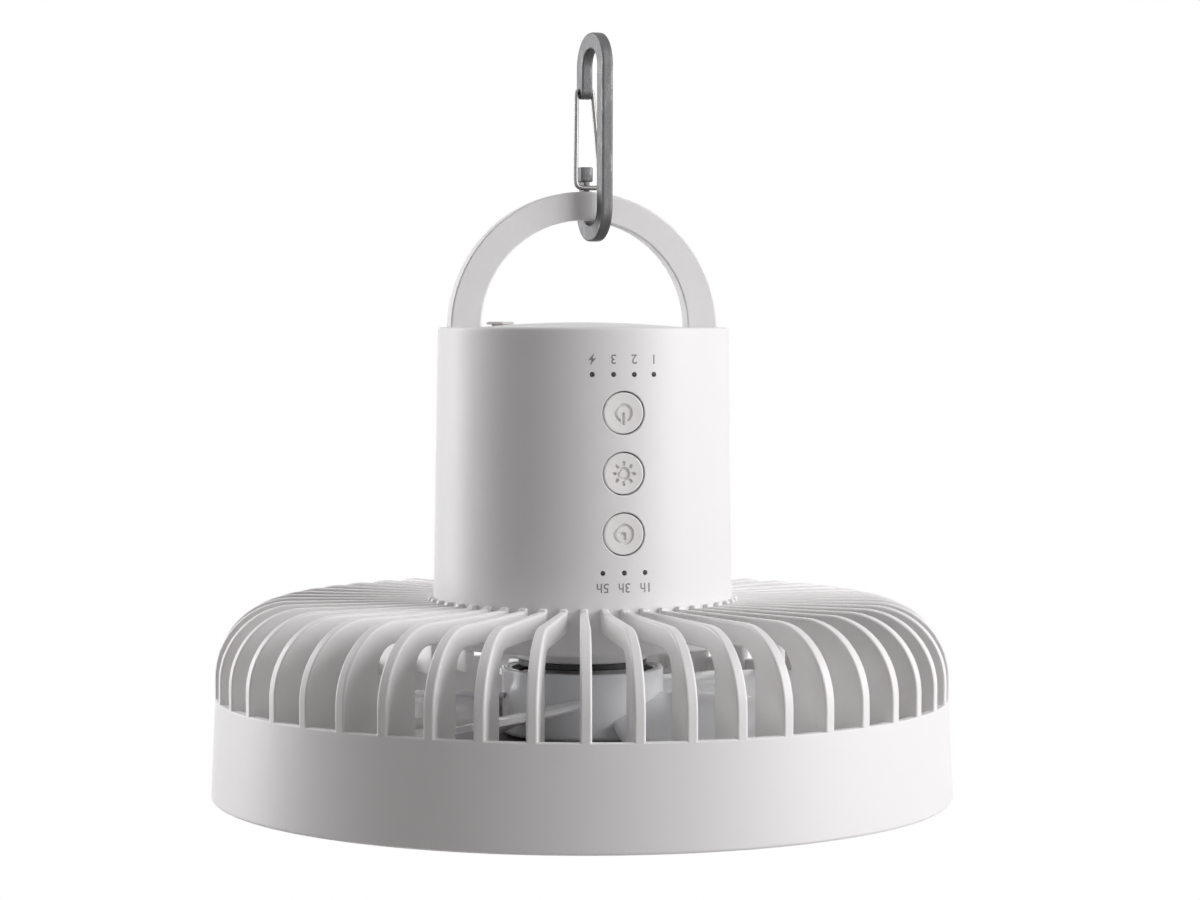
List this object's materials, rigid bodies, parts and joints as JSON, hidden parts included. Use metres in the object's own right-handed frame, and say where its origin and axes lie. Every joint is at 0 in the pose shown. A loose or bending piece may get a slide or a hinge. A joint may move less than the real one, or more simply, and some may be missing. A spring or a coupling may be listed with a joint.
{
  "type": "portable camping fan",
  "caption": "White rechargeable hanging fan with a ribbed guard, cylindrical battery body, push buttons, lamp, folding loop handle and snap hook.",
  "frame": {"origin": "on the rotor's axis, in the plane of the front rim on which the fan stands", "axes": "+Z along the rotor's axis towards the handle, -Y towards the button panel, X along the handle's hinge line"},
  "size_m": [0.19, 0.19, 0.1949],
  "materials": {
    "shell_white": "fine matte",
    "gloss_white": "gloss",
    "button_white": "satin",
    "flap_rubber": "soft matte",
    "lamp_black": "satin",
    "diffuser": "frosted",
    "board_white": "white coated",
    "board_green": "solder mask",
    "chip_yellow": "gloss",
    "steel": "brushed",
    "dark_steel": "satin",
    "hook_steel": "tumbled satin",
    "magnet": "plated",
    "copper": "enamelled wire",
    "light_pipe": "clear",
    "cell_wrap": "shrink wrap",
    "nickel": "bright",
    "wire_black": "satin",
    "wire_red": "satin"
  },
  "bodies": {
    "fan": {"rear_guard": "shell_white", "front_grille": "shell_white", "grille_screws": "steel", "lamp_housing": "lamp_black", "lamp_board": "board_white", "lamp_chips": "chip_yellow", "lamp_reflector": "gloss_white", "lamp_diffuser": "diffuser", "lamp_screws": "steel", "lamp_lead": "wire_black", "motor_shaft": "steel", "shaft_sleeve": "steel", "shaft_clip": "dark_steel", "motor_mount": "shell_white", "motor_board": "lamp_black", "stator_core": "steel", "stator_coils": "copper", "motor_screws": "steel", "motor_lead": "wire_black", "body_shell": "shell_white", "body_screws": "steel", "end_cap": "shell_white", "end_cap_screws": "steel", "charge_socket": "steel", "charge_board": "board_green", "charge_board_screws": "steel", "handle_pins": "steel", "push_switches": "dark_steel", "control_board": "board_green", "board_screws": "steel", "indicator_lights": "light_pipe", "indicator_chips": "chip_yellow", "battery_cells": "cell_wrap", "battery_cage": "lamp_black", "cell_strips": "nickel", "battery_lead": "wire_red"},
    "rotor": {"fan_rotor": "gloss_white", "rotor_ring": "dark_steel", "ring_magnet": "magnet", "bearings": "steel", "bearing_spacer": "steel"},
    "port_flap": {"port_flap": "flap_rubber"},
    "handle": {"handle": "shell_white"},
    "snap_hook": {"hook_frame": "hook_steel"},
    "gate": {"hook_gate": "hook_steel"},
    "power_button": {"power_button": "button_white", "power_plunger": "lamp_black"},
    "lamp_button": {"lamp_button": "button_white", "lamp_plunger": "lamp_black"},
    "timer_button": {"timer_button": "button_white", "timer_plunger": "lamp_black"}
  },
  "joints": [
    {"name": "rotor_spin", "type": "hinge", "parent": "fan", "child": "rotor", "pos_m": [0, 0, 0.0245], "axis": [0, 0, 1], "continuous": true},
    {"name": "handle_fold", "type": "hinge", "parent": "fan", "child": "handle", "pos_m": [0, 0, 0.1183], "axis": [1, 0, 0], "range_deg": [-60, 60]},
    {"name": "hook_swing", "type": "hinge", "parent": "handle", "child": "snap_hook", "pos_m": [0, 0, 0.15055], "axis": [1, 0, 0], "range_deg": [-45, 45]},
    {"name": "gate_open", "type": "hinge", "parent": "snap_hook", "child": "gate", "pos_m": [0.00216, 0.00701, 0.18047], "axis": [0.9945, 0.1045, 0], "range_deg": [-18, 0], "stiffness_Nm_per_rad": 0.02, "springref_deg": 5.73},
    {"name": "flap_open", "type": "hinge", "parent": "fan", "child": "port_flap", "pos_m": [-0.01715, 0.0099, 0.1206], "axis": [0.5, 0.866, 0], "range_deg": [0, 80]},
    {"name": "power_press", "type": "slide", "parent": "fan", "child": "power_button", "axis": [0, 1, 0], "range_m": [0, 0.0007], "stiffness_N_per_m": 800, "springref_m": -0.0005},
    {"name": "lamp_press", "type": "slide", "parent": "fan", "child": "lamp_button", "axis": [0, 1, 0], "range_m": [0, 0.0007], "stiffness_N_per_m": 800, "springref_m": -0.0005},
    {"name": "timer_press", "type": "slide", "parent": "fan", "child": "timer_button", "axis": [0, 1, 0], "range_m": [0, 0.0007], "stiffness_N_per_m": 800, "springref_m": -0.0005}
  ]
}
